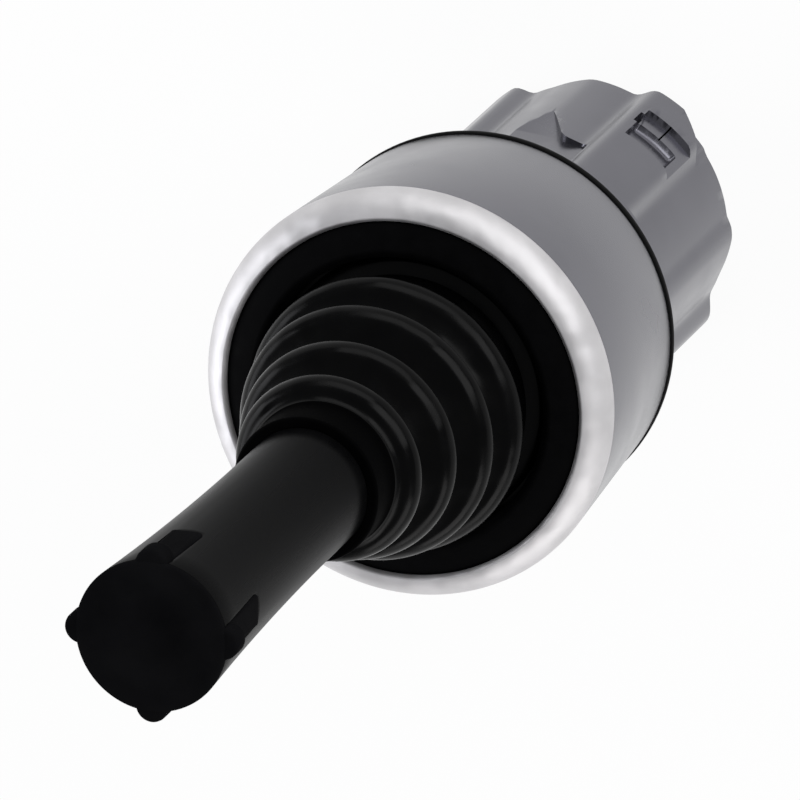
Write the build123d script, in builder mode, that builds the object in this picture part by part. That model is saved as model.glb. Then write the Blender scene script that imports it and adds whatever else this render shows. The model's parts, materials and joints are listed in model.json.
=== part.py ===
from build123d import *
import os
from math import cos, sin, tan, radians, hypot

os.makedirs("parts", exist_ok=True)

# Two-axis joystick head for a 22 mm panel hole, in millimetres.
# +Z runs along the upright lever, away from the panel. The origin is where the
# lever's axis crosses the front of the panel, which is the gasket's rear face.

# Running and seating clearances
running_gap = 0.04
push_fit = 0.02
slip_gap = 0.05

# Small edge breaks
edge_break = 0.3
fine_break = 0.2

# Panel collar
collar_radius = 11.1
collar_core_radius = 10.0
lug_radius = 10.94
collar_length = 25.0
panel_land = 6.5
collar_bore = 9.3
collar_rear_bore = 8.7
collar_ledge = 14.0
relief_depth = 0.3
collar_flange = 12.7
collar_flange_thickness = 2.0

# Raised lugs on the collar, given as [foot, start, end, foot] angles in degrees
collar_lugs = [
    [34.5, 49.0, 61.0, 64.5],
    [115.5, 119.0, 131.0, 145.5],
    [214.5, 222.5, 236.5, 245.5],
    [294.5, 303.5, 317.5, 325.5],
]
lug_rounding = 0.4

# Low ridges that run along the barrel between the lugs, given as [foot, crest, foot]
ridge_radius = 10.35
collar_ridges = [[70.0, 87.0, 104.0], [336.0, 353.0, 370.0]]

# Ribbed pockets in two opposite lugs
pocket_margin = 2.6
pocket_length = 6.4
pocket_floor = 9.9
pocket_start = 36.0
pocket_end = 59.0
rib_places = [0.0, 3.1]
rib_width = 1.3
rib_radius = 10.7
rib_root = 0.3
web_start = 43.0
web_end = 48.0

# Milled flats beside the pockets, whose rear end has a square and a slanting shoulder
milled_angle = 80.0
milled_depth = 0.4
milled_outline = [(-2.4, -8.0), (-2.4, -12.6), (-0.4, -12.6), (1.9, -17.5), (3.2, -17.5), (3.2, -8.0)]
milled_rounding = 0.6

# Gasket and bezel
gasket_thickness = 0.6
gasket_radius = 14.1
bezel_rear_radius = 14.0
bezel_front_radius = 15.0
bezel_side_length = 15.7
bezel_rim_height = 2.2
bezel_mouth = 13.2
bezel_cavity = 12.8
bezel_rear_wall = 3.0
crown_bulge = 0.45
lip_width = 0.25

# Pivot, at the crossing of the two tilt axes
pivot_rise = 3.4
tilt_limit = 12.0
pin_radius = 1.0
cradle_height = 9.0
cradle_wall = 2.7
gate_thickness = 1.2
gate_seat = 1.15
gate_gap = 0.15
gimbal_outer = 9.0
gimbal_inner = 6.6
gimbal_height = 3.0
washer_thickness = 0.5
washer_play = 0.1
pin_inset = 0.4
axle_inset = 0.6
pad_width = 5.0
cradle_notches = (45, 135, 225, 315)
hub_radius = 5.6
hub_height = 4.4
hub_chamfer = 0.6

# Lever
shaft_radius = 2.0
shaft_shoulder = 2.6
shoulder_height = 1.0
shoulder_cone = 0.6
shaft_chamfer = 0.5
shaft_recess = 1.0
rocker_thickness = 1.5
rocker_reach = 7.8
rocker_arm_width = 3.4
rocker_boss = 3.0
rocker_web = 1.2
clip_radius = 3.0
clip_thickness = 0.7
clip_groove_radius = 1.4
clip_mouth = 2.2
shaft_tail = 1.5

# Plungers that pass the tilt on to contact blocks behind the panel
plunger_circle = 6.5
plunger_radius = 1.5
plunger_flange = 2.3
plunger_recess = 0.4
plunger_dome = 0.6
plunger_chamfer = 0.4
rocker_gap = 0.42
rocker_clearance = 0.5
plunger_spring_length = 8.4
plunger_flange_thickness = 1.0
spring_end_gap = 0.05
guide_height = 8.0
spring_pocket = 3.0
cover_thickness = 2.4
screw_circle = 6.0
screw_angles = (45, 225)
screw_radius = 0.8
screw_head = 1.5
screw_length = 4.0
screw_play = 0.3
screw_slot = 0.35
screw_slot_depth = 0.5
post_radius = 1.8

# Springs
plunger_wire = 0.5
plunger_spring_radius = 2.0
return_wire = 0.7
return_spring_radius = 3.6
plunger_turns = 4
return_turns = 4
wire_flats = 4

# Boot
boot_flange_thickness = 1.4
boot_tube_radius = 10.1
boot_wall = 0.8
fold_radii = [10.16, 9.33, 7.99, 6.81]
first_fold_rise = 3.3
fold_pitch = 3.95
fold_depth = 1.9
fold_lip = 0.5
neck_radius = 5.3
neck_rise = 4.75
neck_play = 0.2
valley_share = 0.5
boot_tube_step = 1.3
boot_tube_rise = 0.6
boot_flange_gap = 0.3
clamp_ring_inner = 10.4
clamp_ring_setback = 0.3
clamp_ring_crown = 0.4
clamp_ring_chamfer = 0.5

# Handle and its end cap
handle_base_radius = 4.53
handle_middle_radius = 4.70
handle_tip_radius = 5.37
handle_length = 31.0
handle_spigot = 3.4
handle_chamfer = 0.5
handle_socket = 3.9
handle_socket_depth = 8.8
leg_width = 2.3
leg_length = 8.4
leg_setback = 0.5
leg_root = 0.4
cap_spigot = 4.0
ear_reach = 5.9
ear_height = 1.7
cap_rim = 0.35
cap_dome = 0.9
handle_turn = -4.5

# Heights and places that follow from the sizes above
bezel_rear = gasket_thickness
bezel_floor = bezel_rear + bezel_rear_wall
collar_flange_top = bezel_floor + collar_flange_thickness
cradle_top = collar_flange_top + cradle_height
bezel_side_top = bezel_rear + bezel_side_length
bezel_front = bezel_side_top + bezel_rim_height
pivot_height = collar_flange_top + pivot_rise
gate_bottom = cradle_top - gate_thickness
cradle_inner = collar_flange - cradle_wall
pocket_rear = pocket_margin - collar_length
washer_face = gimbal_outer + washer_play
pad_face = washer_face + washer_thickness + washer_play
axle_half = (gimbal_inner + gimbal_outer) / 2 + axle_inset
hub_bottom = pivot_height - hub_height / 2
hub_top = pivot_height + hub_height / 2
gimbal_sweep = gimbal_height / 2 + rocker_reach * sin(radians(tilt_limit)) + rocker_clearance
rocker_top = pivot_height - gimbal_sweep / cos(radians(tilt_limit))
rocker_bottom = rocker_top - rocker_thickness
clip_bottom = rocker_bottom - clip_thickness
shaft_bottom = clip_bottom - shaft_tail
guide_top = guide_height - collar_ledge
spring_floor = guide_top - spring_pocket
plunger_top = rocker_bottom - rocker_gap
plunger_rear = plunger_recess - collar_length
plunger_flange_bottom = spring_floor + plunger_spring_length
plunger_flange_top = plunger_flange_bottom + plunger_flange_thickness
cover_front = cover_thickness - collar_length
screw_end = cover_front + screw_length - screw_play
boot_flange_top = cradle_top + boot_flange_thickness
boot_flange_radius = bezel_mouth - boot_flange_gap
clamp_ring_edge = bezel_front - clamp_ring_setback
clamp_ring_crest = bezel_front + clamp_ring_crown
fold_heights = [clamp_ring_crest + first_fold_rise + fold_pitch * n for n in range(len(fold_radii))]
handle_base = fold_heights[-1] + neck_rise
handle_bottom = handle_base - handle_spigot
handle_tip = handle_base + handle_length
handle_floor = handle_tip - handle_socket_depth
flare_pull = 2 * handle_middle_radius - (handle_base_radius + handle_tip_radius) / 2
shaft_top = handle_floor - shaft_recess
leg_face = handle_tip_radius - leg_setback
leg_inner = handle_socket - slip_gap - leg_root

# The gate's window meets the shaft just past the tilt limit, also on the diagonal
tilt_slope = tan(radians(tilt_limit)) / cos(radians(tilt_limit))
gate_half = shaft_radius * hypot(1, tilt_slope) + (cradle_top - pivot_height) * tilt_slope + gate_gap


def point_at(radius, angle, z=0.0):
    """A point given by its distance from the axis and its angle round it."""
    return (radius * cos(radians(angle)), radius * sin(radians(angle)), z)


def dome_height(reach, rise, distance):
    """Height of a shallow dome above its rim, at a distance from its axis."""
    ball = (reach**2 + rise**2) / (2 * rise)
    return (ball**2 - distance**2) ** 0.5 - (ball - rise)


def save(piece, name):
    """Name a finished piece and write it out."""
    piece.part.label = name
    export_step(piece.part, f"parts/{name}.step")


# Bezel: a slightly conical die-cast ring with a crowned rim round its mouth
with BuildPart() as bezel_ring:
    with BuildSketch(Plane.XZ):
        with BuildLine():
            rear = Polyline(
                (bezel_mouth, bezel_front - lip_width),
                (bezel_mouth, cradle_top),
                (bezel_cavity, cradle_top),
                (bezel_cavity, bezel_floor),
                (collar_radius + slip_gap, bezel_floor),
                (collar_radius + slip_gap, bezel_rear),
                (bezel_rear_radius - edge_break, bezel_rear),
                (bezel_rear_radius, bezel_rear + edge_break),
                (bezel_front_radius, bezel_side_top),
            )
            crown = SagittaArc(rear @ 1, (bezel_mouth + lip_width, bezel_front), -crown_bulge)
            Line(crown @ 1, rear @ 0)
        make_face()
    revolve(axis=Axis.Z)
save(bezel_ring, "bezel_ring")

# Gasket: a flat ring that slips over the collar
with BuildPart() as panel_gasket:
    with BuildSketch(Plane.XY):
        Circle(gasket_radius)
        Circle(collar_radius + slip_gap, mode=Mode.SUBTRACT)
    extrude(amount=gasket_thickness)
    outer_edges = panel_gasket.edges().filter_by(GeomType.CIRCLE).group_by(SortBy.RADIUS)[-1]
    chamfer(outer_edges, gasket_thickness / 4)
save(panel_gasket, "panel_gasket")


def ring_sector(inner, outer, start, end):
    """Draw the stretch of a flat ring between two angles in the open sketch."""
    middle = (start + end) / 2
    with BuildLine() as outline:
        ThreePointArc(point_at(outer, start), point_at(outer, middle), point_at(outer, end))
        Line(point_at(outer, end), point_at(inner, end))
        ThreePointArc(point_at(inner, end), point_at(inner, middle), point_at(inner, start))
        Line(point_at(inner, start), point_at(outer, start))
    make_face(outline.edges())


# Collar: barrel with four lugs, flange at the front and a stepped bore
with BuildPart() as mounting_collar:
    with BuildSketch(Plane.XY.offset(-collar_length)) as barrel:
        Circle(collar_core_radius)
        for foot, start, end, heel in collar_lugs:
            with BuildLine():
                Polyline((0, 0), point_at(collar_core_radius, foot), point_at(lug_radius, start))
                ThreePointArc(
                    point_at(lug_radius, start),
                    point_at(lug_radius, (start + end) / 2),
                    point_at(lug_radius, end),
                )
                Polyline(point_at(lug_radius, end), point_at(collar_core_radius, heel), (0, 0))
            make_face()
        corners = barrel.vertices().filter_by(lambda v: abs(hypot(v.X, v.Y) - lug_radius) < 0.01)
        fillet(corners, lug_rounding)
        for turn in (0, 180):
            for foot, crest, heel in collar_ridges:
                with BuildLine():
                    Polyline(
                        (0, 0),
                        point_at(collar_core_radius, foot + turn),
                        point_at(ridge_radius, crest + turn),
                        point_at(collar_core_radius, heel + turn),
                        close=True,
                    )
                make_face()
    extrude(amount=collar_length - panel_land)
    with BuildSketch(Plane.XY.offset(-panel_land)):
        Circle(collar_radius)
    extrude(amount=panel_land)
    with BuildSketch(Plane.XY):
        Circle(collar_radius - relief_depth)
    extrude(amount=gasket_thickness)
    with BuildSketch(Plane.XY.offset(bezel_rear)):
        Circle(collar_radius)
    extrude(amount=bezel_rear_wall)
    with BuildSketch(Plane.XY.offset(bezel_floor)):
        Circle(collar_flange)
    extrude(amount=collar_flange_thickness)
    with BuildSketch(Plane.XY.offset(collar_flange_top)):
        Circle(collar_bore)
    extrude(amount=-(collar_flange_top + collar_ledge), mode=Mode.SUBTRACT)
    with BuildSketch(Plane.XY.offset(-collar_ledge)):
        Circle(collar_rear_bore)
    extrude(amount=-(collar_length - collar_ledge), mode=Mode.SUBTRACT)
    # Pocket in two opposite lugs, with two ribs and the web that joins them
    for turn in (0, 180):
        with BuildSketch(Plane.XY.offset(pocket_rear)):
            ring_sector(pocket_floor, collar_radius + 1, pocket_start + turn, pocket_end + turn)
        extrude(amount=pocket_length, mode=Mode.SUBTRACT)
        for rib_at in rib_places:
            with BuildSketch(Plane.XY.offset(pocket_rear + rib_at)):
                ring_sector(pocket_floor - rib_root, rib_radius, pocket_start + turn, pocket_end + turn)
            extrude(amount=rib_width)
        with BuildSketch(Plane.XY.offset(pocket_rear)):
            ring_sector(pocket_floor - rib_root, rib_radius, web_start + turn, web_end + turn)
        extrude(amount=rib_places[-1] + rib_width)
    # Milled flat beside each pocket
    for turn in (0, 180):
        side = Plane(
            origin=point_at(collar_radius, milled_angle + turn),
            x_dir=point_at(1, milled_angle + turn + 90),
            z_dir=point_at(1, milled_angle + turn),
        )
        with BuildSketch(side):
            with BuildLine():
                FilletPolyline(*milled_outline, radius=milled_rounding, close=True)
            make_face()
        extrude(amount=collar_core_radius - milled_depth - collar_radius, mode=Mode.SUBTRACT)
    rear_edges = mounting_collar.edges().group_by(Axis.Z)[0]
    chamfer(rear_edges, edge_break)
save(mounting_collar, "mounting_collar")

# Cradle: ring that carries the outer tilt axis and seats the gate plate
with BuildPart() as pivot_cradle:
    with BuildSketch(Plane.XY.offset(collar_flange_top)):
        Circle(collar_flange)
        Circle(cradle_inner, mode=Mode.SUBTRACT)
    extrude(amount=cradle_height)
    with BuildSketch(Plane.XY.offset(gate_bottom)):
        Circle(cradle_inner + gate_seat + slip_gap)
    extrude(amount=gate_thickness, mode=Mode.SUBTRACT)
    for side in (-1, 1):
        with BuildSketch(Plane.YZ.offset(side * pad_face)):
            with Locations((0, pivot_height)):
                RectangleRounded(pad_width, pad_width, 1.0)
        extrude(amount=side * (cradle_inner + cradle_wall / 2 - pad_face))
    with BuildSketch(Plane.YZ.offset(-collar_flange)):
        with Locations((0, pivot_height)):
            Circle(pin_radius + running_gap)
    extrude(amount=2 * collar_flange, mode=Mode.SUBTRACT)
    for angle in cradle_notches:
        with BuildSketch(Plane.XY.offset(collar_flange_top)):
            with Locations(point_at(collar_flange, angle)[:2]):
                Circle(cradle_wall / 2)
        extrude(amount=cradle_height - 2 * gate_thickness, mode=Mode.SUBTRACT)
save(pivot_cradle, "pivot_cradle")

# Gate: its square window stops the lever at the tilt limit both ways
with BuildPart() as gate_plate:
    with BuildSketch(Plane.XY.offset(gate_bottom)):
        Circle(cradle_inner + gate_seat)
        RectangleRounded(2 * gate_half, 2 * gate_half, 0.8, mode=Mode.SUBTRACT)
    extrude(amount=gate_thickness)
save(gate_plate, "gate_plate")

# Clamp ring: holds the boot's flange down in the bezel's mouth
with BuildPart() as boot_clamp_ring:
    with BuildSketch(Plane.XZ):
        with BuildLine():
            Polyline(
                (clamp_ring_inner, boot_flange_top),
                (bezel_mouth - slip_gap, boot_flange_top),
                (bezel_mouth - slip_gap, clamp_ring_edge - fine_break),
                (bezel_mouth - slip_gap - fine_break, clamp_ring_edge),
                (clamp_ring_inner + clamp_ring_chamfer, clamp_ring_crest),
                (clamp_ring_inner, clamp_ring_crest - clamp_ring_chamfer),
                close=True,
            )
        make_face()
    revolve(axis=Axis.Z)
save(boot_clamp_ring, "boot_clamp_ring")

# Boot: flange, four folds and a neck with a bead in the handle's groove
valley_radii = [radius - fold_depth for radius in fold_radii[1:]] + [neck_radius]
outer_folds = [(boot_tube_radius, boot_flange_top), (boot_tube_radius, clamp_ring_crest - edge_break)]
outer_folds += [(boot_tube_radius - boot_tube_step, clamp_ring_crest + boot_tube_rise)]
inner_folds = [(radius - boot_wall * hypot(1, 1), height) for radius, height in outer_folds]
for height, radius, valley in zip(fold_heights, fold_radii, valley_radii):
    outer_folds += [(radius, height - fold_lip / 2), (radius, height + fold_lip / 2)]
    outer_folds.append((valley, height + fold_pitch * valley_share))
    inner_folds.append((radius - boot_wall * hypot(1, 1), height))
    inner_folds.append((valley - boot_wall * hypot(1, 1), height + fold_pitch * valley_share))
outer_folds.append((neck_radius, handle_base))
inner_folds[-1] = (handle_base_radius + slip_gap, handle_bottom + neck_play)
inner_folds.append((handle_base_radius + slip_gap, handle_base))
with BuildPart() as bellows_boot:
    with BuildSketch(Plane.XZ):
        with BuildLine():
            outer = Polyline(*outer_folds)
            inner = Polyline(*inner_folds)
            Line(outer @ 1, inner @ 1)
            Polyline(
                outer @ 0,
                (boot_flange_radius, boot_flange_top),
                (boot_flange_radius, cradle_top),
                ((inner @ 0).X, cradle_top),
                inner @ 0,
            )
        make_face()
    revolve(axis=Axis.Z)
save(bellows_boot, "bellows_boot")

# Gimbal ring: swings on the cradle, and carries the lever's axle
with BuildPart() as gimbal_ring:
    with BuildSketch(Plane.XY.offset(pivot_height - gimbal_height / 2)):
        Circle(gimbal_outer)
        Circle(gimbal_inner, mode=Mode.SUBTRACT)
    extrude(amount=gimbal_height)
    chamfer(gimbal_ring.edges().filter_by(GeomType.CIRCLE), edge_break)
    with BuildSketch(Plane.YZ.offset(-gimbal_outer)):
        with Locations((0, pivot_height)):
            Circle(pin_radius + push_fit)
    extrude(amount=2 * gimbal_outer, mode=Mode.SUBTRACT)
    with BuildSketch(Plane.XZ.offset(-gimbal_outer)):
        with Locations((0, pivot_height)):
            Circle(pin_radius + running_gap)
    extrude(amount=2 * gimbal_outer, mode=Mode.SUBTRACT)
save(gimbal_ring, "gimbal_ring")

# Stub pins of the outer axis, both in one group
with BuildPart() as gimbal_pins:
    for side in (-1, 1):
        with BuildSketch(Plane.YZ.offset(side * (gimbal_inner + pin_inset))):
            with Locations((0, pivot_height)):
                Circle(pin_radius)
        extrude(amount=side * (collar_flange - gimbal_inner - 2 * pin_inset))
    chamfer(gimbal_pins.edges().group_by(Axis.X)[0], fine_break)
    chamfer(gimbal_pins.edges().group_by(Axis.X)[-1], fine_break)
save(gimbal_pins, "gimbal_pins")

# Thrust washers between the gimbal ring and the cradle's pads
with BuildPart() as pivot_washers:
    for side in (-1, 1):
        with BuildSketch(Plane.YZ.offset(side * washer_face)):
            with Locations((0, pivot_height)):
                Circle(2 * pin_radius)
                Circle(pin_radius + push_fit, mode=Mode.SUBTRACT)
        extrude(amount=side * washer_thickness)
save(pivot_washers, "pivot_washers")

# Axle of the inner axis, through the ring, the hub and the shaft
with BuildPart() as pivot_axle:
    with BuildSketch(Plane.XZ.offset(-axle_half)):
        with Locations((0, pivot_height)):
            Circle(pin_radius)
    extrude(amount=2 * axle_half)
    chamfer(pivot_axle.edges().filter_by(GeomType.CIRCLE), fine_break)
save(pivot_axle, "pivot_axle")

# Hub that the axle locks to the shaft
with BuildPart() as pivot_hub:
    with BuildSketch(Plane.XY.offset(hub_bottom)):
        Circle(hub_radius)
        Circle(shaft_radius + push_fit, mode=Mode.SUBTRACT)
    extrude(amount=hub_height)
    chamfer(pivot_hub.edges().filter_by(GeomType.CIRCLE).group_by(SortBy.RADIUS)[-1], hub_chamfer)
    with BuildSketch(Plane.XZ.offset(-hub_radius)):
        with Locations((0, pivot_height)):
            Circle(pin_radius + push_fit)
    extrude(amount=2 * hub_radius, mode=Mode.SUBTRACT)
save(pivot_hub, "pivot_hub")

# Lever shaft, with a shoulder above the hub and a groove for the clip
with BuildPart() as lever_shaft:
    with BuildSketch(Plane.XZ):
        with BuildLine():
            Polyline(
                (0, shaft_bottom),
                (shaft_radius - edge_break, shaft_bottom),
                (shaft_radius, shaft_bottom + edge_break),
                (shaft_radius, clip_bottom - push_fit),
                (clip_groove_radius, clip_bottom - push_fit),
                (clip_groove_radius, rocker_bottom - push_fit),
                (shaft_radius, rocker_bottom - push_fit),
                (shaft_radius, hub_top + push_fit),
                (shaft_shoulder, hub_top + push_fit),
                (shaft_shoulder, hub_top + shoulder_height),
                (shaft_radius, hub_top + shoulder_height + shoulder_cone),
                (shaft_radius, shaft_top - shaft_chamfer),
                (shaft_radius - shaft_chamfer, shaft_top),
                (0, shaft_top),
                close=True,
            )
        make_face()
    revolve(axis=Axis.Z)
    with BuildSketch(Plane.XZ.offset(-hub_radius)):
        with Locations((0, pivot_height)):
            Circle(pin_radius + push_fit)
    extrude(amount=2 * hub_radius, mode=Mode.SUBTRACT)
save(lever_shaft, "lever_shaft")

# Rocker: four arms over the plungers, on a boss under the hub
with BuildPart() as rocker_plate:
    with BuildSketch(Plane.XY.offset(rocker_bottom)):
        for angle in (0, 90):
            SlotOverall(2 * rocker_reach, rocker_arm_width, rotation=angle)
        Circle(rocker_boss + rocker_web)
    extrude(amount=rocker_thickness)
    with BuildSketch(Plane.XY.offset(rocker_top)):
        Circle(rocker_boss)
    extrude(amount=hub_bottom - rocker_top - push_fit)
    with BuildSketch(Plane.XY.offset(rocker_bottom)):
        Circle(shaft_radius + push_fit)
    extrude(amount=hub_bottom - rocker_bottom, mode=Mode.SUBTRACT)
save(rocker_plate, "rocker_plate")

# Clip: an open ring in the shaft's groove
with BuildPart() as shaft_clip:
    with BuildSketch(Plane.XY.offset(clip_bottom)):
        Circle(clip_radius)
        Circle(clip_groove_radius + push_fit, mode=Mode.SUBTRACT)
        with Locations((0, -clip_radius)):
            Rectangle(clip_mouth, 2 * clip_radius, mode=Mode.SUBTRACT)
    extrude(amount=clip_thickness - 2 * push_fit)
save(shaft_clip, "shaft_clip")

# Handle: a sleeve that flares to its tip, with four slots for the cap's legs
with BuildPart() as handle_sleeve:
    with BuildSketch(Plane.XZ):
        with BuildLine():
            flare = Bezier(
                (handle_base_radius, handle_base),
                (flare_pull, handle_base + handle_length / 2),
                (handle_tip_radius, handle_tip),
            )
            Polyline(
                flare @ 1,
                (handle_socket, handle_tip),
                (handle_socket, handle_floor),
                (shaft_radius + push_fit, handle_floor),
                (shaft_radius + push_fit, handle_bottom),
                (handle_base_radius - handle_chamfer, handle_bottom),
                (handle_base_radius, handle_bottom + handle_chamfer),
                flare @ 0,
            )
        make_face()
    revolve(axis=Axis.Z)
    for count in range(4):
        angle = handle_turn + 90 * count
        with BuildSketch(Plane.XY.offset(handle_tip - leg_length - slip_gap)):
            with Locations(Location(point_at(handle_tip_radius, angle), (0, 0, angle))):
                Rectangle(2 * (handle_tip_radius - leg_inner), leg_width + 2 * slip_gap)
        extrude(amount=2 * leg_length, mode=Mode.SUBTRACT)
save(handle_sleeve, "handle_sleeve")

# End cap: domed disc with a spigot, four legs in the slots and four ears
with BuildPart() as end_cap:
    with BuildSketch(Plane.XZ):
        with BuildLine():
            edge = Polyline(
                (0, handle_tip - cap_spigot),
                (handle_socket - slip_gap, handle_tip - cap_spigot),
                (handle_socket - slip_gap, handle_tip + push_fit),
                (handle_tip_radius, handle_tip + push_fit),
                (handle_tip_radius, handle_tip + cap_rim),
            )
            dome = ThreePointArc(
                edge @ 1,
                (
                    handle_tip_radius / 2,
                    handle_tip + cap_rim + dome_height(handle_tip_radius, cap_dome, handle_tip_radius / 2),
                ),
                (0, handle_tip + cap_rim + cap_dome),
            )
            Line(dome @ 1, edge @ 0)
        make_face()
    revolve(axis=Axis.Z)
    for count in range(4):
        angle = handle_turn + 90 * count
        with BuildSketch(Plane.XY.offset(handle_tip - leg_length)):
            with Locations(Location(point_at((leg_inner + leg_face) / 2, angle), (0, 0, angle))):
                Rectangle(leg_face - leg_inner, leg_width)
        extrude(amount=leg_length + cap_rim)
        with BuildSketch(Plane.XY.offset(handle_tip + cap_rim - ear_height)):
            with Locations(Location(point_at(ear_reach - leg_width / 2, angle), (0, 0, angle))):
                Circle(leg_width / 2)
            ear_middle = (ear_reach - leg_width / 2 + leg_inner) / 2
            with Locations(Location(point_at(ear_middle, angle), (0, 0, angle))):
                Rectangle(ear_reach - leg_width / 2 - leg_inner, leg_width)
        extrude(amount=ear_height)
save(end_cap, "end_cap")

# Plungers, each with a flange for its spring and domed ends
plunger_places = {"east": 0, "north": 90, "west": 180, "south": 270}
for name, angle in plunger_places.items():
    x, y, _ = point_at(plunger_circle, angle)
    with BuildPart() as plunger:
        with BuildSketch(Plane(origin=(x, y, 0), x_dir=(1, 0, 0), z_dir=(0, -1, 0))):
            with BuildLine():
                lower = Polyline(
                    (0, plunger_rear),
                    (plunger_radius - plunger_chamfer, plunger_rear),
                    (plunger_radius, plunger_rear + plunger_chamfer),
                    (plunger_radius, plunger_flange_bottom),
                    (plunger_flange, plunger_flange_bottom),
                    (plunger_flange, plunger_flange_top),
                    (plunger_radius, plunger_flange_top),
                    (plunger_radius, plunger_top - plunger_dome),
                )
                tip_middle = dome_height(plunger_radius, plunger_dome, plunger_radius / 2)
                tip = ThreePointArc(
                    lower @ 1,
                    (plunger_radius / 2, plunger_top - plunger_dome + tip_middle),
                    (0, plunger_top),
                )
                Line(tip @ 1, lower @ 0)
            make_face()
        revolve(axis=Axis((x, y, 0), (0, 0, 1)))
    save(plunger, f"plunger_{name}")


def coil(centre, radius, wire, floor, height, turns):
    """A coil spring that stands on a floor. Its round wire is drawn with flats."""
    run = height - wire - 2 * spring_end_gap
    start = floor + wire / 2 + spring_end_gap
    with BuildPart() as spring:
        with BuildLine():
            path = Helix(run / turns, run, radius, center=(centre[0], centre[1], start))
        with BuildSketch(Plane(origin=path @ 0, z_dir=path % 0)):
            RegularPolygon(wire / 2, wire_flats)
        sweep(path=path, is_frenet=True)
    return spring


# Springs round the plungers
for name, angle in plunger_places.items():
    centre = point_at(plunger_circle, angle)
    size = (plunger_spring_radius, plunger_wire, spring_floor, plunger_spring_length)
    plunger_spring = coil(centre, *size, plunger_turns)
    save(plunger_spring, f"plunger_spring_{name}")

# Return spring between the guide and the rocker
return_spring = coil(
    (0, 0), return_spring_radius, return_wire, guide_top, rocker_bottom - guide_top, return_turns
)
save(return_spring, "return_spring")

# Guide: block with four bores and spring pockets, and two posts for the screws
with BuildPart() as plunger_guide:
    with BuildSketch(Plane.XY.offset(-collar_ledge)):
        Circle(collar_bore - slip_gap)
    extrude(amount=guide_height)
    with BuildSketch(Plane.XY.offset(cover_front)):
        for angle in screw_angles:
            with Locations(point_at(screw_circle, angle)[:2]):
                Circle(post_radius)
    extrude(amount=-collar_ledge - cover_front)
    with BuildSketch(Plane.XY.offset(-collar_ledge)):
        with PolarLocations(plunger_circle, 4):
            Circle(plunger_radius + slip_gap)
    extrude(amount=guide_height, mode=Mode.SUBTRACT)
    with BuildSketch(Plane.XY.offset(spring_floor)):
        with PolarLocations(plunger_circle, 4):
            Circle(plunger_spring_radius + plunger_wire / 2 + slip_gap)
    extrude(amount=spring_pocket, mode=Mode.SUBTRACT)
    with BuildSketch(Plane.XY.offset(cover_front)):
        for angle in screw_angles:
            with Locations(point_at(screw_circle, angle)[:2]):
                Circle(screw_radius + push_fit)
    extrude(amount=screw_length, mode=Mode.SUBTRACT)
save(plunger_guide, "plunger_guide")

# Rear cover, with holes for the plungers and countersinks for the screws
with BuildPart() as rear_cover:
    with BuildSketch(Plane.XY.offset(-collar_length)):
        Circle(collar_rear_bore - slip_gap)
        with PolarLocations(plunger_circle, 4):
            Circle(plunger_radius + slip_gap, mode=Mode.SUBTRACT)
    extrude(amount=cover_thickness)
    for angle in screw_angles:
        with Locations(Location(point_at(screw_circle, angle, -collar_length), (180, 0, 0))):
            CounterSinkHole(screw_radius + push_fit, screw_head + push_fit, cover_thickness)
save(rear_cover, "rear_cover")

# Countersunk screws with a cross recess, both in one group
with BuildPart() as cover_screws:
    for angle in screw_angles:
        x, y, _ = point_at(screw_circle, angle)
        with BuildSketch(Plane(origin=(x, y, 0), x_dir=(1, 0, 0), z_dir=(0, -1, 0))):
            with BuildLine():
                Polyline(
                    (0, -collar_length),
                    (screw_head, -collar_length),
                    (screw_radius, -collar_length + screw_head - screw_radius),
                    (screw_radius, screw_end),
                    (0, screw_end),
                    close=True,
                )
            make_face()
        revolve(axis=Axis((x, y, 0), (0, 0, 1)))
        with BuildSketch(Plane.XY.offset(-collar_length)):
            with Locations((x, y)):
                Rectangle(1.3 * screw_head, screw_slot)
                Rectangle(screw_slot, 1.3 * screw_head)
        extrude(amount=screw_slot_depth, mode=Mode.SUBTRACT)
save(cover_screws, "cover_screws")
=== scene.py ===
# Looks of the two-axis joystick head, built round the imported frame
import json
import math

import bmesh
import bpy
from mathutils import Matrix, Vector


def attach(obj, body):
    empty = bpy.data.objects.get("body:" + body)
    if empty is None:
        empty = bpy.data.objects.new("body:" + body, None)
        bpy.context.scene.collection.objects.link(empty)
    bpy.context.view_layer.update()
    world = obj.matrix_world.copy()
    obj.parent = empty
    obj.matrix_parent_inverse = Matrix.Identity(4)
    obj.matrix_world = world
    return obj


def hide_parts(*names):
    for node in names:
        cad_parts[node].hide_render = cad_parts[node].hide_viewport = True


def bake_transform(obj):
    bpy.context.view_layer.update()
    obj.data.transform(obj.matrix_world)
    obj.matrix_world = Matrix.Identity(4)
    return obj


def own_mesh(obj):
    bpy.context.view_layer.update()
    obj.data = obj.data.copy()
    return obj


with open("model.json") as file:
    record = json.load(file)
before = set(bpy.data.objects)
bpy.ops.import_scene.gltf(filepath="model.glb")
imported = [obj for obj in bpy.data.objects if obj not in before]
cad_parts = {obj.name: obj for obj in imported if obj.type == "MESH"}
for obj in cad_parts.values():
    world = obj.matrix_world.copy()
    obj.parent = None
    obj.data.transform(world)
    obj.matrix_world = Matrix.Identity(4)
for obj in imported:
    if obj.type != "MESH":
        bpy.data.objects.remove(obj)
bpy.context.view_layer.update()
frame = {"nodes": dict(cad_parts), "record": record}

MM = 0.001
AXIS = (0, 0, 1)
STEPS_AROUND = 144
SAME_PLACE = 0.001
MERGE_WITHIN = 0.0005

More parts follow.
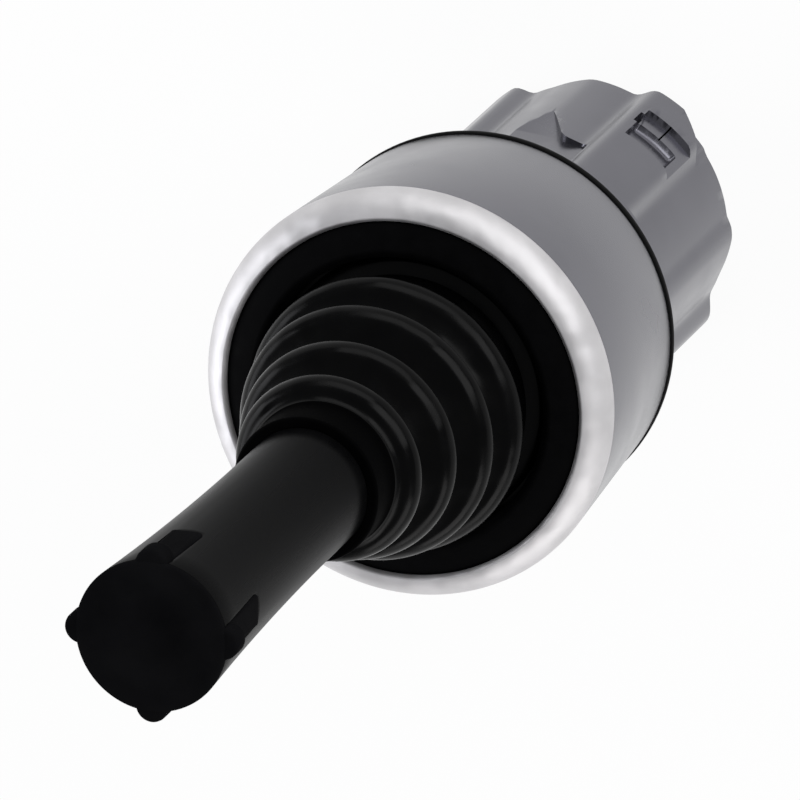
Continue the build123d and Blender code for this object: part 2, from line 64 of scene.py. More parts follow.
# Sizes shared by several pieces, in millimetres
COLLAR_END = -25.0
BEZEL_REAR = 0.6
BEZEL_SHOULDER = 16.3
BEZEL_TOP = 18.5
BOOT_SEAT = 14.6
SEAM_HEIGHT = 24.175
SEAM_OUTER = 7.43
SEAM_INNER = 6.5
HANDLE_BASE = 38.8
HANDLE_TIP = 69.8
TIP_RADIUS = 5.37
LEG_TURNS = [math.radians(-4.5 + 90 * n) for n in range(4)]


def let_go():
    """Leave edit mode with nothing selected."""
    if bpy.context.mode != "OBJECT":
        bpy.ops.object.mode_set(mode="OBJECT")
    bpy.ops.object.select_all(action="DESELECT")


def take(piece):
    """Make one piece the selected and active one."""
    let_go()
    piece.select_set(True)
    bpy.context.view_layer.objects.active = piece


def edit(piece):
    """Open one piece in edit mode with nothing in it selected."""
    take(piece)
    bpy.ops.object.mode_set(mode="EDIT")
    bpy.ops.mesh.select_mode(type="VERT")
    bpy.ops.mesh.select_all(action="DESELECT")


def pick_points(piece, test):
    """Select the points whose place, in millimetres, passes a test."""
    bpy.ops.mesh.select_mode(type="VERT")
    bpy.ops.mesh.select_all(action="DESELECT")
    mesh = bmesh.from_edit_mesh(piece.data)
    for point in mesh.verts:
        point.select_set(bool(test(point.co / MM)))
    mesh.select_flush_mode()
    bmesh.update_edit_mesh(piece.data)


def pick_faces(piece, test):
    """Select the faces whose middle, in millimetres, and normal pass a test."""
    bpy.ops.mesh.select_mode(type="FACE")
    bpy.ops.mesh.select_all(action="DESELECT")
    mesh = bmesh.from_edit_mesh(piece.data)
    mesh.normal_update()
    for face in mesh.faces:
        face.select_set(bool(test(face.calc_center_median() / MM, face.normal)))
    bmesh.update_edit_mesh(piece.data)


def soften(piece, angle=35):
    """Shade a piece smooth except along its sharp edges."""
    take(piece)
    bpy.ops.object.shade_smooth_by_angle(angle=math.radians(angle))
    let_go()


def even_shading(piece):
    """Let a piece's broad faces set the shading of the narrow ones beside them."""
    take(piece)
    even = piece.modifiers.new("even_shading", "WEIGHTED_NORMAL")
    even.keep_sharp = True
    bpy.ops.object.modifier_apply(modifier=even.name)
    let_go()


def round_edges(piece, width, segments=2, angle=35):
    """Break a piece's sharp edges with a small bevel."""
    take(piece)
    bevel = piece.modifiers.new("edge_break", "BEVEL")
    bevel.width = width * MM
    bevel.segments = segments
    bevel.limit_method = "ANGLE"
    bevel.angle_limit = math.radians(angle)
    bevel.use_clamp_overlap = True
    bpy.ops.object.modifier_apply(modifier=bevel.name)
    let_go()


def combine(piece, tool, how):
    """Cut a tool out of a piece, or weld it on, and drop the tool."""
    take(piece)
    joint = piece.modifiers.new("shape_" + how.lower(), "BOOLEAN")
    joint.operation = how
    joint.solver = "EXACT"
    joint.object = tool
    bpy.ops.object.modifier_apply(modifier=joint.name)
    let_go()
    bpy.data.objects.remove(tool)


def turned(name, outline, rounds=(), steps=STEPS_AROUND, closed=True, sweep=None):
    """A turned piece: a point is drawn out along the outline of (radius, height) pairs,
    its corners are rounded as (corner number, cut back, segments), and it is spun all
    the way round, or between two angles in degrees."""
    let_go()
    bpy.ops.mesh.primitive_plane_add(size=MM)
    piece = bpy.context.object
    piece.name = name
    edit(piece)
    bpy.ops.mesh.select_all(action="SELECT")
    bpy.ops.mesh.merge(type="CENTER")
    bpy.ops.transform.translate(value=(outline[0][0] * MM, 0, outline[0][1] * MM))
    for (r0, z0), (r1, z1) in zip(outline, outline[1:]):
        step = ((r1 - r0) * MM, 0, (z1 - z0) * MM)
        bpy.ops.mesh.extrude_vertices_move(TRANSFORM_OT_translate={"value": step})
    if closed:
        ends = [Vector((r, 0, z)) for r, z in (outline[0], outline[-1])]
        pick_points(piece, lambda p: min((p - end).length for end in ends) < SAME_PLACE)
        bpy.ops.mesh.edge_face_add()
    for corner, cut, segments in rounds:
        place = Vector((outline[corner][0], 0, outline[corner][1]))
        pick_points(piece, lambda p: (p - place).length < SAME_PLACE)
        bpy.ops.mesh.bevel(offset=cut * MM, segments=segments, affect="VERTICES")
    bpy.ops.mesh.select_all(action="SELECT")
    arc = math.tau
    if sweep:
        start, end = sweep
        arc = math.radians(end - start)
        bpy.ops.transform.rotate(
            value=-math.radians(end), orient_axis="Z", center_override=(0, 0, 0)
        )
    bpy.ops.mesh.spin(steps=steps, angle=arc, center=(0, 0, 0), axis=AXIS)
    bpy.ops.mesh.select_all(action="SELECT")
    bpy.ops.mesh.remove_doubles(threshold=MERGE_WITHIN * MM)
    if sweep:
        bpy.ops.mesh.fill_holes(sides=len(outline))
    bpy.ops.mesh.normals_make_consistent(inside=False)
    let_go()
    return piece


def bar(size, middle, turn, rounding=0.0, segments=3):
    """A block given by its (depth outwards, width, height) and its middle, which is
    turned about the axis; its edges are rounded first."""
    let_go()
    bpy.ops.mesh.primitive_cube_add(size=MM)
    block = bpy.context.object
    edit(block)
    bpy.ops.mesh.select_all(action="SELECT")
    bpy.ops.transform.resize(value=size)
    if rounding:
        pick_points(block, lambda p: True)
        bpy.ops.mesh.bevel(offset=rounding * MM, segments=segments, affect="EDGES")
        bpy.ops.mesh.select_all(action="SELECT")
    reach, side, height = middle
    bpy.ops.transform.translate(value=(reach * MM, side * MM, height * MM))
    take(block)
    block.matrix_world = Matrix.Rotation(turn, 4, "Z")
    bpy.ops.object.transform_apply(location=True, rotation=True, scale=True)
    let_go()
    return block


def rod(radius, low, high, place):
    """An upright rod between two heights."""
    let_go()
    bpy.ops.mesh.primitive_cylinder_add(
        vertices=48,
        radius=radius * MM,
        depth=(high - low) * MM,
        location=(place[0] * MM, place[1] * MM, (low + high) / 2 * MM),
    )
    piece = bpy.context.object
    bpy.ops.object.transform_apply(location=True, rotation=True, scale=True)
    let_go()
    return piece


# Milled shoulder: its outline as (across, height), how deep its floor lies, how much
# wider it is outside, and the height under which its floor slopes outwards
MILLED_SIDE = [(-2.4, -8.0), (-2.4, -12.6), (-0.4, -12.6), (1.9, -17.5), (3.2, -17.5), (3.2, -8.0)]
MILLED_TOP = -8.0
MILLED_CORNER = 0.6
MILLED_FLOOR = 9.6
MILLED_DEPTH = 2.4
MILLED_FLARE = (1, 1.35, 1.2)
MILLED_MIDDLE = (0.4, -12.75)
MILLED_BREAK = -13.2
MILLED_SLOPE = 0.16
MILLED_BEARING = 80


def milled_cutter(turn):
    """The tool that mills the stepped flat beside a pocket, with cutter-round corners."""
    let_go()
    bpy.ops.mesh.primitive_plane_add(size=MM)
    tool = bpy.context.object
    edit(tool)
    bpy.ops.mesh.select_all(action="SELECT")
    bpy.ops.mesh.merge(type="CENTER")
    across, height = MILLED_SIDE[0]
    bpy.ops.transform.translate(value=(MILLED_FLOOR * MM, across * MM, height * MM))
    for (y0, z0), (y1, z1) in zip(MILLED_SIDE, MILLED_SIDE[1:]):
        bpy.ops.mesh.extrude_vertices_move(
            TRANSFORM_OT_translate={"value": (0, (y1 - y0) * MM, (z1 - z0) * MM)}
        )
    pick_points(tool, lambda p: p.z > MILLED_TOP - 0.01)
    bpy.ops.mesh.edge_face_add()
    pick_points(tool, lambda p: p.z < MILLED_TOP - 4)
    bpy.ops.mesh.bevel(offset=MILLED_CORNER * MM, segments=5, affect="VERTICES")
    bpy.ops.mesh.select_all(action="SELECT")
    bpy.ops.mesh.edge_face_add()
    bpy.ops.mesh.select_all(action="SELECT")
    bpy.ops.mesh.extrude_region_move(
        TRANSFORM_OT_translate={"value": (MILLED_DEPTH * MM, 0, 0)}
    )
    pick_points(tool, lambda p: p.x > MILLED_FLOOR + 1.4)
    middle = (MILLED_FLOOR + MILLED_DEPTH, *MILLED_MIDDLE)
    bpy.ops.transform.resize(value=MILLED_FLARE, center_override=[place * MM for place in middle])
    bpy.ops.mesh.select_all(action="SELECT")
    bpy.ops.mesh.bisect(plane_co=(0, 0, MILLED_BREAK * MM), plane_no=(0, 0, 1))
    heights = {round(point.co.z / MM, 4) for point in bmesh.from_edit_mesh(tool.data).verts}
    for height in sorted(heights):
        if height < MILLED_BREAK - 0.01:
            pick_points(tool, lambda p: p.x < MILLED_FLOOR + 1.4 and abs(p.z - height) < 0.0002)
            bpy.ops.transform.translate(value=((MILLED_BREAK - height) * MILLED_SLOPE * MM, 0, 0))
    bpy.ops.mesh.select_all(action="SELECT")
    bpy.ops.mesh.normals_make_consistent(inside=False)
    take(tool)
    tool.matrix_world = Matrix.Rotation(math.radians(MILLED_BEARING + turn), 4, "Z")
    bpy.ops.object.transform_apply(location=True, rotation=True, scale=True)
    let_go()
    return tool


# Finishes
DRIFT_FROM = 0.3
DRIFT_TO = 0.7


def finish(name, colours, rough, metallic=0.0, gloss=0.5, grain=900, stretch=(1, 1, 1),
           bump=0.1, bump_grain=4000, bump_depth=0.02):
    """A finish whose colour and roughness drift between two values each, and whose
    surface ripples to a depth in millimetres, all read from the piece's own coordinates."""
    made = bpy.data.materials.new(name)
    made.use_nodes = True
    nodes, links = made.node_tree.nodes, made.node_tree.links
    shader = nodes["Principled BSDF"]
    shader.inputs["Metallic"].default_value = metallic
    shader.inputs["Specular IOR Level"].default_value = gloss
    place = nodes.new("ShaderNodeTexCoord")
    mapping = nodes.new("ShaderNodeMapping")
    mapping.inputs["Scale"].default_value = stretch
    links.new(place.outputs["Object"], mapping.inputs["Vector"])
    drift = nodes.new("ShaderNodeTexNoise")
    drift.inputs["Scale"].default_value = grain
    drift.inputs["Detail"].default_value = 4
    links.new(mapping.outputs["Vector"], drift.inputs["Vector"])
    ramp = nodes.new("ShaderNodeValToRGB")
    ramp.color_ramp.elements[0].position = DRIFT_FROM
    ramp.color_ramp.elements[1].position = DRIFT_TO
    for stop, colour in zip(ramp.color_ramp.elements, colours):
        stop.color = (*colour, 1)
    links.new(drift.outputs["Fac"], ramp.inputs["Fac"])
    links.new(ramp.outputs["Color"], shader.inputs["Base Color"])
    spread = nodes.new("ShaderNodeMapRange")
    spread.inputs["From Min"].default_value = DRIFT_FROM
    spread.inputs["From Max"].default_value = DRIFT_TO
    spread.inputs["To Min"].default_value = rough[0]
    spread.inputs["To Max"].default_value = rough[1]
    links.new(drift.outputs["Fac"], spread.inputs["Value"])
    links.new(spread.outputs["Result"], shader.inputs["Roughness"])
    ripple = nodes.new("ShaderNodeTexNoise")
    ripple.inputs["Scale"].default_value = bump_grain
    ripple.inputs["Detail"].default_value = 1
    links.new(mapping.outputs["Vector"], ripple.inputs["Vector"])
    relief = nodes.new("ShaderNodeBump")
    relief.inputs["Strength"].default_value = bump
    relief.inputs["Distance"].default_value = bump_depth * MM
    links.new(ripple.outputs["Fac"], relief.inputs["Height"])
    links.new(relief.outputs["Normal"], shader.inputs["Normal"])
    return made


satin_metal = finish("satin_die_cast", [(0.109, 0.108, 0.126), (0.135, 0.134, 0.154)],
                     (0.18, 0.28), metallic=0.9, grain=160, bump=0.04, bump_grain=5000)
polished_rim = finish("polished_rim", [(0.56, 0.55, 0.56), (0.68, 0.67, 0.68)],
                      (0.50, 0.62), metallic=1.0, grain=300, bump=1.0, bump_grain=430,
                      bump_depth=0.2)
boot_rubber = finish("black_rubber", [(0.0005, 0.0005, 0.0006), (0.0010, 0.0010, 0.0011)],
                     (0.16, 0.32), gloss=0.09, grain=420, bump=1.0, bump_grain=330,
                     bump_depth=0.16)
neck_rubber = finish("dull_rubber", [(0.0005, 0.0005, 0.0006), (0.0010, 0.0010, 0.0011)],
                     (0.5, 0.65), gloss=0.008, grain=420, bump=0.2, bump_grain=5000)
gasket_rubber = finish("gasket_rubber", [(0.0015, 0.0015, 0.0016), (0.003, 0.003, 0.0032)],
                       (0.5, 0.65), gloss=0.06, grain=900, bump=0.2, bump_grain=5000)
clamp_black = finish("clamp_black", [(0.0012, 0.0012, 0.0014), (0.002, 0.002, 0.0023)],
                     (0.55, 0.7), gloss=0.02, grain=900, bump=0.1, bump_grain=5000)
sleeve_plastic = finish("sleeve_charcoal", [(0.0020, 0.0020, 0.0022), (0.0036, 0.0036, 0.0038)],
                        (0.24, 0.34), gloss=0.012, grain=500, stretch=(1, 1, 0.06),
                        bump=0.12, bump_grain=2600)
cap_plastic = finish("cap_black", [(0.0030, 0.0030, 0.0034), (0.0056, 0.0056, 0.0062)],
                     (0.50, 0.62), gloss=0.001, grain=220, bump=0.15, bump_grain=4000)
inner_plastic = finish("inner_black", [(0.012, 0.012, 0.013), (0.020, 0.020, 0.021)],
                       (0.45, 0.6), gloss=0.3, grain=900, bump=0.15, bump_grain=5000)
plunger_plastic = finish("plunger_ivory", [(0.55, 0.53, 0.47), (0.64, 0.62, 0.56)],
                         (0.4, 0.52), gloss=0.4, grain=900, bump=0.08, bump_grain=5000)
steel = finish("bright_steel", [(0.42, 0.42, 0.43), (0.52, 0.52, 0.53)],
               (0.22, 0.36), metallic=1.0, grain=1500, bump=0.1, bump_grain=6000)
spring_wire = finish("spring_wire", [(0.32, 0.31, 0.30), (0.44, 0.43, 0.41)],
                     (0.25, 0.4), metallic=1.0, grain=1800, bump=0.1, bump_grain=6000)

SLOT_FINISHES = {
    "cast_metal": satin_metal,
    "gasket_rubber": gasket_rubber,
    "boot_rubber": boot_rubber,
    "clamp_plastic": clamp_black,
    "handle_plastic": sleeve_plastic,
    "cap_plastic": cap_plastic,
    "inner_plastic": inner_plastic,
    "plunger_plastic": plunger_plastic,
    "steel": steel,
    "spring_steel": spring_wire,
}


def dress(piece, material):
    """Give a whole piece one finish."""
    piece.data.materials.clear()
    piece.data.materials.append(material)


for part in frame["record"]["subparts"]:
    dress(frame["nodes"][part["node"]], SLOT_FINISHES[part["material_slot"]])


def stand_for(piece, node, body, material):
    """Put a finished piece in a node's place, on its body and with its finish."""
    if material is not None:
        dress(piece, material)
    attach(piece, body)
    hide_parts(node)


# Bezel: a slightly conical ring with a crowned, polished rim
BEZEL_BORE = 11.15
MOUTH_RADIUS = 13.0
bezel = turned(
    "bezel_casting",
    [(BEZEL_BORE, BEZEL_REAR), (14.0, BEZEL_REAR), (15.0, BEZEL_SHOULDER), (15.02, 18.02),
     (13.25, BEZEL_TOP), (MOUTH_RADIUS, 18.2), (MOUTH_RADIUS, BOOT_SEAT), (12.8, BOOT_SEAT),
     (12.8, 3.6), (BEZEL_BORE, 3.6)],
    rounds=[(1, 0.3, 4), (3, 1.68, 16), (4, 0.16, 3), (5, 0.1, 2)],
    steps=216,
)
dress(bezel, satin_metal)
bezel.data.materials.append(polished_rim)
edit(bezel)
pick_faces(bezel, lambda p, n: p.z > BEZEL_SHOULDER + 0.1 and p.xy.length > MOUTH_RADIUS + 0.02)
bezel.active_material_index = 1
bpy.ops.object.material_slot_assign()
soften(bezel)
stand_for(bezel, "bezel_ring", "housing", None)

# Gasket: rounded band between the bezel and the panel
gasket = turned(
    "gasket_band",
    [(BEZEL_BORE, 0.0), (14.1, 0.0), (14.1, BEZEL_REAR), (BEZEL_BORE, BEZEL_REAR)],
    rounds=[(1, 0.2, 4), (2, 0.2, 4)],
)
soften(gasket, 50)
stand_for(gasket, "panel_gasket", "housing", gasket_rubber)

# Clamp ring in the bezel's mouth
clamp = turned(
    "clamp_moulding",
    [(10.4, 16.0), (12.98, 16.0), (12.98, 18.2), (10.95, 18.9), (10.4, 18.4)],
    rounds=[(2, 0.2, 3), (3, 0.25, 4), (4, 0.2, 3)],
)
soften(clamp)
stand_for(clamp, "boot_clamp_ring", "housing", clamp_black)

# Boot: four stacked folds with rounded lips, in two halves that meet in a valley. Folds
# are (height, radius) and valleys (radius, height); a shoulder and a ledge are how far
# inside and above the lip they lie
FOLDS = [(22.2, 10.16), (26.15, 9.33), (30.1, 7.99), (34.05, 6.81)]
VALLEYS = [(8.8, 19.5), (SEAM_OUTER, SEAM_HEIGHT), (6.09, 28.125), (4.91, 32.075), (5.3, 36.025)]
LIP_BELOW = 0.35
SHOULDER = (0.14, 0.6)
LEDGE = (1.5, 1.02)
WALL_OFFSET = 1.0
NECK_FOOT = 35.0
NECK_RADIUS = 5.3
NECK_BORE = 4.58


def fold_outline(folds, valleys):
    """The outside of a run of folds, from the valley below the first, and its rounded
    corners."""
    outline, rounds = [valleys[0]], []
    for (height, radius), valley in zip(folds, valleys[1:]):
        corner = len(outline)
        outline += [
            (radius, height - LIP_BELOW),
            (radius - SHOULDER[0], height + SHOULDER[1]),
            (radius - LEDGE[0], height + LEDGE[1]),
            valley,
        ]
        rounds += [(corner, 0.12, 4), (corner + 1, 0.75, 10), (corner + 2, 0.55, 6),
                   (corner + 3, 0.3, 4)]
    return outline, rounds


def inner_outline(folds, valleys):
    """The inside of the same run of folds, from its top down."""
    inside = []
    for (height, radius), valley in reversed(list(zip(folds, valleys))):
        inside += [(radius - WALL_OFFSET, height), (valley[0] - WALL_OFFSET, valley[1])]
    return inside


SKIRT = [(12.9, BOOT_SEAT), (12.9, 16.0), (10.1, 16.0), (10.1, 17.3), (8.95, 17.7)]
outline, rounds = fold_outline(FOLDS[:1], VALLEYS[:2])
boot_lower = turned(
    "boot_lower",
    SKIRT + outline
    + [(SEAM_INNER, SEAM_HEIGHT), (FOLDS[0][1] - WALL_OFFSET, FOLDS[0][0]), (7.8, 19.5),
       (7.9, 17.0), (9.0, 16.2), (9.0, BOOT_SEAT)],
    rounds=[(corner + len(SKIRT), cut, segments) for corner, cut, segments in rounds[:-1]]
    + [(3, 0.3, 4)],
)
outline, rounds = fold_outline(FOLDS[1:], VALLEYS[1:])
boot_upper = turned(
    "boot_upper",
    outline + [(NECK_RADIUS, HANDLE_BASE), (NECK_BORE, HANDLE_BASE), (NECK_BORE, 35.7)]
    + inner_outline(FOLDS[1:], VALLEYS[1:-1])[:-1] + [(SEAM_INNER, SEAM_HEIGHT)],
    rounds=rounds + [(len(outline), 0.25, 4)],
)
dress(boot_lower, boot_rubber)
dress(boot_upper, boot_rubber)
boot_upper.data.materials.append(neck_rubber)
edit(boot_upper)
pick_faces(boot_upper, lambda p, n: p.z > NECK_FOOT and p.xy.length < NECK_RADIUS + 0.1)
boot_upper.active_material_index = 1
bpy.ops.object.material_slot_assign()
for half, bodies, start, end in (
    (boot_lower, ("housing", "gimbal"), 18.4, SEAM_HEIGHT),
    (boot_upper, ("gimbal", "lever"), SEAM_HEIGHT, 31.5),
):
    soften(half, 45)
    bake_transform(half)
    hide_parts("bellows_boot")

# Handle sleeve: flares to its tip, with a slot for each leg of the cap
SLEEVE_RADIUS = 4.53
SLEEVE_WAIST = 4.45
SLEEVE_BORE = 2.02
SLEEVE_FOOT = 35.4
TIP_BORE = 3.9
TIP_FLOOR = 61.0
SLOT_SIZE = (4.0, 2.4, 9.0)
SLOT_MIDDLE = (5.45, 0, 67.0)
FLARE_STEPS = 12
FLARE = []
for step in range(1, FLARE_STEPS + 1):
    t = step / FLARE_STEPS
    pull = ((1 - t) ** 2 * SLEEVE_RADIUS + 2 * t * (1 - t) * SLEEVE_WAIST + t**2 * TIP_RADIUS)
    FLARE.append((pull, HANDLE_BASE + t * (HANDLE_TIP - HANDLE_BASE)))
sleeve = turned(
    "grip_sleeve",
    [(SLEEVE_BORE, SLEEVE_FOOT), (SLEEVE_RADIUS - 0.5, SLEEVE_FOOT),
     (SLEEVE_RADIUS, SLEEVE_FOOT + 0.5), (SLEEVE_RADIUS, HANDLE_BASE)] + FLARE
    + [(TIP_BORE, HANDLE_TIP), (TIP_BORE, TIP_FLOOR), (SLEEVE_BORE, TIP_FLOOR)],
    rounds=[(3 + FLARE_STEPS, 0.12, 3)],
)
for turn in LEG_TURNS:
    combine(sleeve, bar(SLOT_SIZE, SLOT_MIDDLE, turn, 0.55, 4), "DIFFERENCE")
round_edges(sleeve, 0.06, 2, 40)
soften(sleeve, 40)
stand_for(sleeve, "handle_sleeve", "lever", sleeve_plastic)

# End cap: low dome with four legs down the slots and four rounded ears
PLUG_RADIUS = 3.85
PLUG_FOOT = 65.8
CAP_FOOT = 69.82
DOME_START = 5.15
DOME_FOOT = 70.15
DOME_RISE = 0.9
DOME_STEPS = 8
LEG_SIZE = (1.7, 2.3, 7.3)
LEG_MIDDLE = (4.25, 0, 66.2)
EAR_RADIUS = 1.15
EAR_REACH = 5.05
DOME = [(TIP_RADIUS, 69.93), (5.35, 70.04), (5.28, 70.13), (DOME_START, 70.21)]
for step in range(1, DOME_STEPS + 1):
    reach = DOME_START * math.cos(step / DOME_STEPS * math.pi / 2)
    DOME.append((max(reach, 0), DOME_FOOT + DOME_RISE * (1 - (reach / TIP_RADIUS) ** 2)))
cap = turned(
    "cap_moulding",
    [(0, PLUG_FOOT), (PLUG_RADIUS, PLUG_FOOT), (PLUG_RADIUS, CAP_FOOT), (TIP_RADIUS, CAP_FOOT)]
    + DOME,
    closed=False,
)
for turn in LEG_TURNS:
    combine(cap, bar(LEG_SIZE, LEG_MIDDLE, turn, 0.3, 3), "UNION")
    ear = rod(EAR_RADIUS, 68.2, 70.08, (EAR_REACH * math.cos(turn), EAR_REACH * math.sin(turn)))
    round_edges(ear, 0.35, 4)
    combine(cap, ear, "UNION")
round_edges(cap, 0.08, 2, 30)
soften(cap, 35)
stand_for(cap, "end_cap", "lever", cap_plastic)

# Collar: barrel with four lugs and low ridges, two of the lugs with a terraced pocket,
# and two milled shoulders. A lug is (foot, start, end, heel) and a ridge (foot, crest,
# heel), in degrees round the axis
COLLAR_STEPS = 240
LUG_RADIUS = 11.05
RIDGE_RADIUS = 10.38
CORE_RADIUS = 10.0
BARREL_TOP = -6.5
LUGS = [(30.0, 36.0, 61.3, 67.0), (114.5, 119.0, 131.0, 145.5),
        (210.0, 216.0, 241.3, 247.0), (294.5, 303.5, 317.5, 325.5)]
RIDGES = [(70, 87, 104), (156, 173, 190), (250, 267, 284), (336, 353, 370)]


def collar_reach(angle):
    """The collar's radius at an angle, before its steps are smoothed."""
    for foot, start, end, heel in LUGS:
        if foot < angle < heel:
            rise = min(1, (angle - foot) / (start - foot), (heel - angle) / (heel - end))
            return CORE_RADIUS + rise * (LUG_RADIUS - CORE_RADIUS)
    for foot, crest, heel in RIDGES:
        if foot < angle < heel:
            rise = min((angle - foot) / (crest - foot), (heel - angle) / (heel - crest))
            return CORE_RADIUS + rise * (RIDGE_RADIUS - CORE_RADIUS)
    return CORE_RADIUS


def eased_reach(angle):
    """The same radius averaged over four degrees, which eases the lugs' feet."""
    near = [collar_reach((angle + step / 2) % 360) for step in range(-4, 5)]
    return sum(near) / len(near)


def bearing(place):
    """A point's angle round the axis, in degrees from 0 to 360."""
    return math.degrees(math.atan2(place.y, place.x)) % 360


CUT_RADIUS = 12
CUT_STEP = 1.5


def sector(inner, outer, low, high, start, end, draft=0.0):
    """A block bent round the axis between two angles, its lower side slanted by a draft."""
    foot = low - draft * (outer - inner)
    return turned("cutter", [(inner, low), (outer, foot), (outer, high), (inner, high)],
                  steps=max(2, int((end - start) / CUT_STEP)), sweep=(start, end))


LEAD_TOP = -22.4
LEAD_FROM = 27
LEAD_TO = 51
LEAD_BREAK = 35.5
LEAD_SLOPE = 2.6 / 14.5


def lead_in(turn):
    """The tool that slants a lug's rear end, so that it leads into its catch."""
    tool = sector(CORE_RADIUS + 0.02, CUT_RADIUS, COLLAR_END - 1, LEAD_TOP,
                  LEAD_FROM + turn, LEAD_TO + turn)
    edit(tool)
    for column in range(int((LEAD_TO - LEAD_FROM) / CUT_STEP) + 1):
        angle = LEAD_FROM + turn + column * CUT_STEP
        pick_points(tool, lambda p: p.z > LEAD_TOP - 0.01 and abs(bearing(p) - angle) < 0.3)
        drop = max(0, angle - turn - LEAD_BREAK) * LEAD_SLOPE
        bpy.ops.transform.translate(value=(0, 0, -drop * MM))
    let_go()
    return tool


collar = turned(
    "collar_casting",
    [(9.3, 5.6), (12.7, 5.6), (12.7, 3.6), (11.1, 3.6), (11.1, 0.6), (10.8, 0.6), (10.8, 0.0),
     (11.1, 0.0), (11.1, BARREL_TOP)] + [(CORE_RADIUS, BARREL_TOP - 1.3 * n) for n in range(14)]
    + [(CORE_RADIUS, -24.7), (CORE_RADIUS - 0.3, COLLAR_END), (8.7, COLLAR_END), (8.7, -14.0),
       (9.3, -14.0)],
    steps=COLLAR_STEPS,
)
edit(collar)
for column in range(COLLAR_STEPS):
    angle = column * 360 / COLLAR_STEPS
    share = eased_reach(angle) / CORE_RADIUS
    if share > 1.0005:
        pick_points(
            collar,
            lambda p: p.z < BARREL_TOP + 0.1
            and CORE_RADIUS - 0.4 < p.xy.length < CORE_RADIUS + 0.01
            and abs((bearing(p) - angle + 180) % 360 - 180) < 0.3,
        )
        bpy.ops.transform.resize(value=(share, share, 1), center_override=(0, 0, 0))
let_go()

# Each cut as (inner radius, outer radius, low, high, from, to, draft, rounding): pocket,
# deeper well, notch and groove
CUTS = [
    (10.6, CUT_RADIUS, -20.85, -15.5, 32, 57.4, 0.35, 0),
    (10.05, 11.5, -18.8, -15.5, 37.2, 57.4, 0.55, 0.3),
    (10.3, CUT_RADIUS, -19.7, -18.2, 57.0, 58.9, 0.4, 0),
    (10.5, CUT_RADIUS, -20.85, -19.0, 46.5, 47.2, 0.35, 0),
]
for turn in (0, 180):
    combine(collar, lead_in(turn), "DIFFERENCE")
    for inner, outer, low, high, start, end, draft, rounding in CUTS:
        cutter = sector(inner, outer, low, high, start + turn, end + turn, draft)
        if rounding:
            round_edges(cutter, rounding, 4)
        combine(collar, cutter, "DIFFERENCE")
    combine(collar, milled_cutter(turn), "DIFFERENCE")
round_edges(collar, 0.15, 3, 32)
soften(collar, 40)
even_shading(collar)
stand_for(collar, "mounting_collar", "housing", satin_metal)

# Springs: round wire wound between two heights
STEPS_PER_COIL = 40
STEPS_PER_WIRE = 12


def coil(name, reach, wire, low, high, turns, place=(0, 0)):
    """A ring of wire, wound up about an upright line and closed at both ends."""
    let_go()
    bpy.ops.mesh.primitive_circle_add(
        vertices=STEPS_PER_WIRE, radius=wire / 2 * MM, rotation=(math.pi / 2, 0, 0)
    )
    piece = bpy.context.object
    piece.name = name
    bpy.ops.object.transform_apply(location=True, rotation=True, scale=True)
    edit(piece)
    bpy.ops.mesh.select_all(action="SELECT")
    bpy.ops.transform.translate(value=(reach * MM, 0, (low + wire / 2) * MM))
    take(piece)
    winding = piece.modifiers.new("winding", "SCREW")
    winding.angle = turns * math.tau
    winding.screw_offset = (high - low - wire) * MM
    winding.steps = winding.render_steps = int(turns * STEPS_PER_COIL)
    winding.use_merge_vertices = False
    bpy.ops.object.modifier_apply(modifier=winding.name)
    edit(piece)
    bpy.ops.mesh.select_all(action="SELECT")
    bpy.ops.mesh.fill_holes(sides=STEPS_PER_WIRE)
    bpy.ops.mesh.normals_make_consistent(inside=False)
    bpy.ops.mesh.select_all(action="SELECT")
    bpy.ops.transform.translate(value=(place[0] * MM, place[1] * MM, 0))
    soften(piece, 50)
    dress(piece, spring_wire)
    return piece


SEAT_GAP = 0.05

# The plungers' springs stand on the guide's floor
SPRING_FLOOR = -9.0
PLUNGER_CIRCLE = 6.5
for side, x, y in (("east", 1, 0), ("north", 0, 1), ("west", -1, 0), ("south", 0, -1)):
    place = (PLUNGER_CIRCLE * x, PLUNGER_CIRCLE * y)
    spring = coil("coil_" + side, 2.0, 0.5, SPRING_FLOOR + SEAT_GAP, SPRING_FLOOR + 8.35, 4, place)
    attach(spring, "housing")
    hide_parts("plunger_spring_" + side)
    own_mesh(spring)

# The return spring stands between the guide and the rocker, in two runs of one coil
GUIDE_TOP = -6.0
RETURN_TOP = 3.797
RETURN_SPLIT = 2.4
RETURN_WIRE = 0.7
for name, low, high, turns, bodies, start, end in (
    ("return_coil_low", GUIDE_TOP + SEAT_GAP, RETURN_SPLIT + RETURN_WIRE / 2, 4,
     ("housing", "gimbal"), -1.5, RETURN_SPLIT),
    ("return_coil_high", RETURN_SPLIT - RETURN_WIRE / 2, RETURN_TOP - SEAT_GAP, 0.5,
     ("gimbal", "lever"), RETURN_SPLIT, RETURN_TOP - SEAT_GAP),
):
    spring = coil(name, 3.6, RETURN_WIRE, low, high, turns)
    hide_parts("return_spring")
    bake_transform(spring)

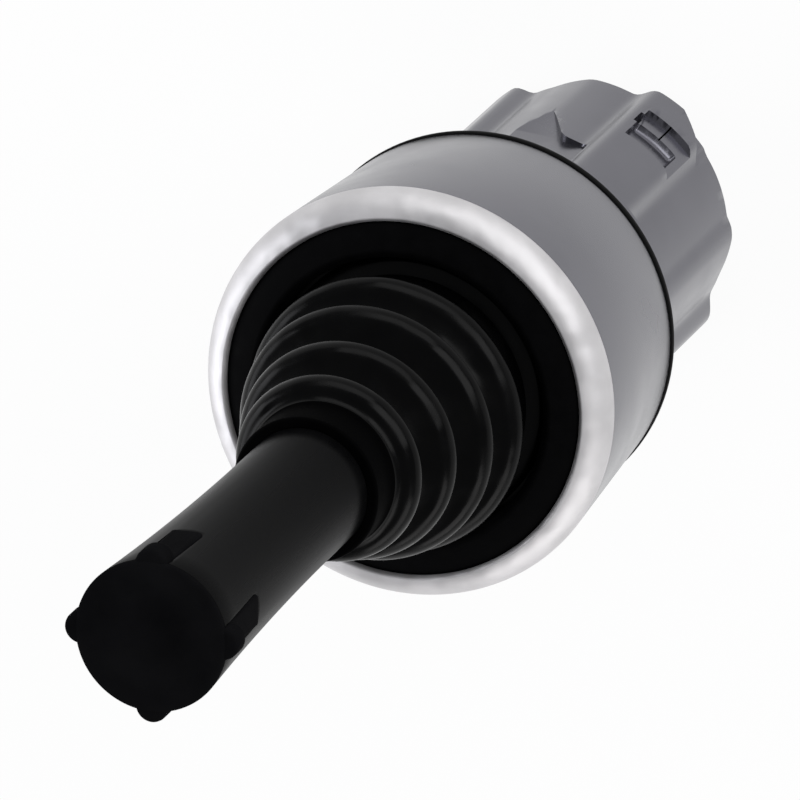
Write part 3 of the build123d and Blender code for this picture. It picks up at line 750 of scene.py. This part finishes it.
# Floor under the object: it lights the object as a pale matt ground does, keeps a soft
# shadow, and shows as white to the camera and in metal and glass for most of its share
FLOOR_SIDE = 24
FLOOR_GAP = 0.02
PALE = 0.93
let_go()
bpy.ops.mesh.primitive_plane_add(
    size=FLOOR_SIDE, location=(0, 0, (COLLAR_END - FLOOR_GAP) * MM)
)
floor = bpy.context.object
floor.name = "studio_floor"
paper = bpy.data.materials.new("pale_floor")
paper.use_nodes = True
tree = paper.node_tree
matte = tree.nodes["Principled BSDF"]
matte.inputs["Base Color"].default_value = (PALE, PALE, PALE, 1)
matte.inputs["Roughness"].default_value = 0.9
matte.inputs["Specular IOR Level"].default_value = 0.1
glow = tree.nodes.new("ShaderNodeEmission")
glow.inputs["Color"].default_value = (1, 1, 1, 1)
glow.inputs["Strength"].default_value = 1.0
path = tree.nodes.new("ShaderNodeLightPath")
seen, also = (tree.nodes.new("ShaderNodeMath") for _ in range(2))
seen.operation = also.operation = "MAXIMUM"
share = tree.nodes.new("ShaderNodeMath")
share.operation = "MULTIPLY"
share.inputs[1].default_value = PALE
blend = tree.nodes.new("ShaderNodeMixShader")
tree.links.new(path.outputs["Is Camera Ray"], seen.inputs[0])
tree.links.new(path.outputs["Is Glossy Ray"], seen.inputs[1])
tree.links.new(seen.outputs[0], also.inputs[0])
tree.links.new(path.outputs["Is Transmission Ray"], also.inputs[1])
tree.links.new(also.outputs[0], share.inputs[0])
tree.links.new(share.outputs[0], blend.inputs[0])
tree.links.new(matte.outputs[0], blend.inputs[1])
tree.links.new(glow.outputs[0], blend.inputs[2])
tree.links.new(blend.outputs[0], tree.nodes["Material Output"].inputs["Surface"])
floor.data.materials.append(paper)

# Camera at the photograph's angle: its directions, and its place in millimetres
CAMERA_PLACE = Vector((373.09, 336.78, 1018.92))
RIGHT = Vector((0.94229, -0.07416, -0.3265))
UP = Vector((-0.0320, 0.95084, -0.3082))
BACK = Vector((0.33333, 0.30077, 0.8935))
camera_data = bpy.data.cameras.new("photo_camera")
camera_data.lens = 720
camera_data.sensor_width = 36
camera_data.clip_start = 0.01
camera_data.clip_end = 50
camera = bpy.data.objects.new("photo_camera", camera_data)
bpy.context.scene.collection.objects.link(camera)
view = Matrix((RIGHT, UP, BACK)).transposed().to_4x4()
view.translation = CAMERA_PLACE * MM
camera.matrix_world = view
bpy.context.scene.camera = camera


# Soft lights, placed by how far right, up and towards the camera they stand, in metres
# from a point low in the handle
LIT_POINT = Vector((0, 0, 0.02))


def softbox(name, place, size, radiance, tint=(1, 1, 1)):
    """A flat area light that faces the object."""
    data = bpy.data.lights.new(name, "AREA")
    data.shape = "RECTANGLE"
    data.size, data.size_y = size
    data.energy = radiance * size[0] * size[1] * math.pi
    data.color = tint
    lamp = bpy.data.objects.new(name, data)
    bpy.context.scene.collection.objects.link(lamp)
    spot = RIGHT * place[0] + UP * place[1] + BACK * place[2]
    lamp.location = LIT_POINT + spot
    lamp.rotation_euler = spot.to_track_quat("Z", "Y").to_euler()


softbox("top_box", (0.0, 0.8, 0.6), (1.0, 0.55), 2.0)
softbox("right_box", (0.55, 0.25, 0.85), (0.7, 0.7), 3.0)
softbox("left_box", (-0.95, -0.15, -0.05), (1.1, 0.5), 3.6, (0.96, 0.97, 1.0))
softbox("low_box", (0.35, -0.95, 0.15), (1.0, 0.5), 2.9, (1.0, 0.985, 0.975))

# Faint light from all round
world = bpy.data.worlds.new("studio_air")
world.use_nodes = True
air = world.node_tree.nodes["Background"]
air.inputs["Color"].default_value = (0.95, 0.96, 0.98, 1)
air.inputs["Strength"].default_value = 0.36
bpy.context.scene.world = world

bpy.context.scene.view_settings.view_transform = "Standard"
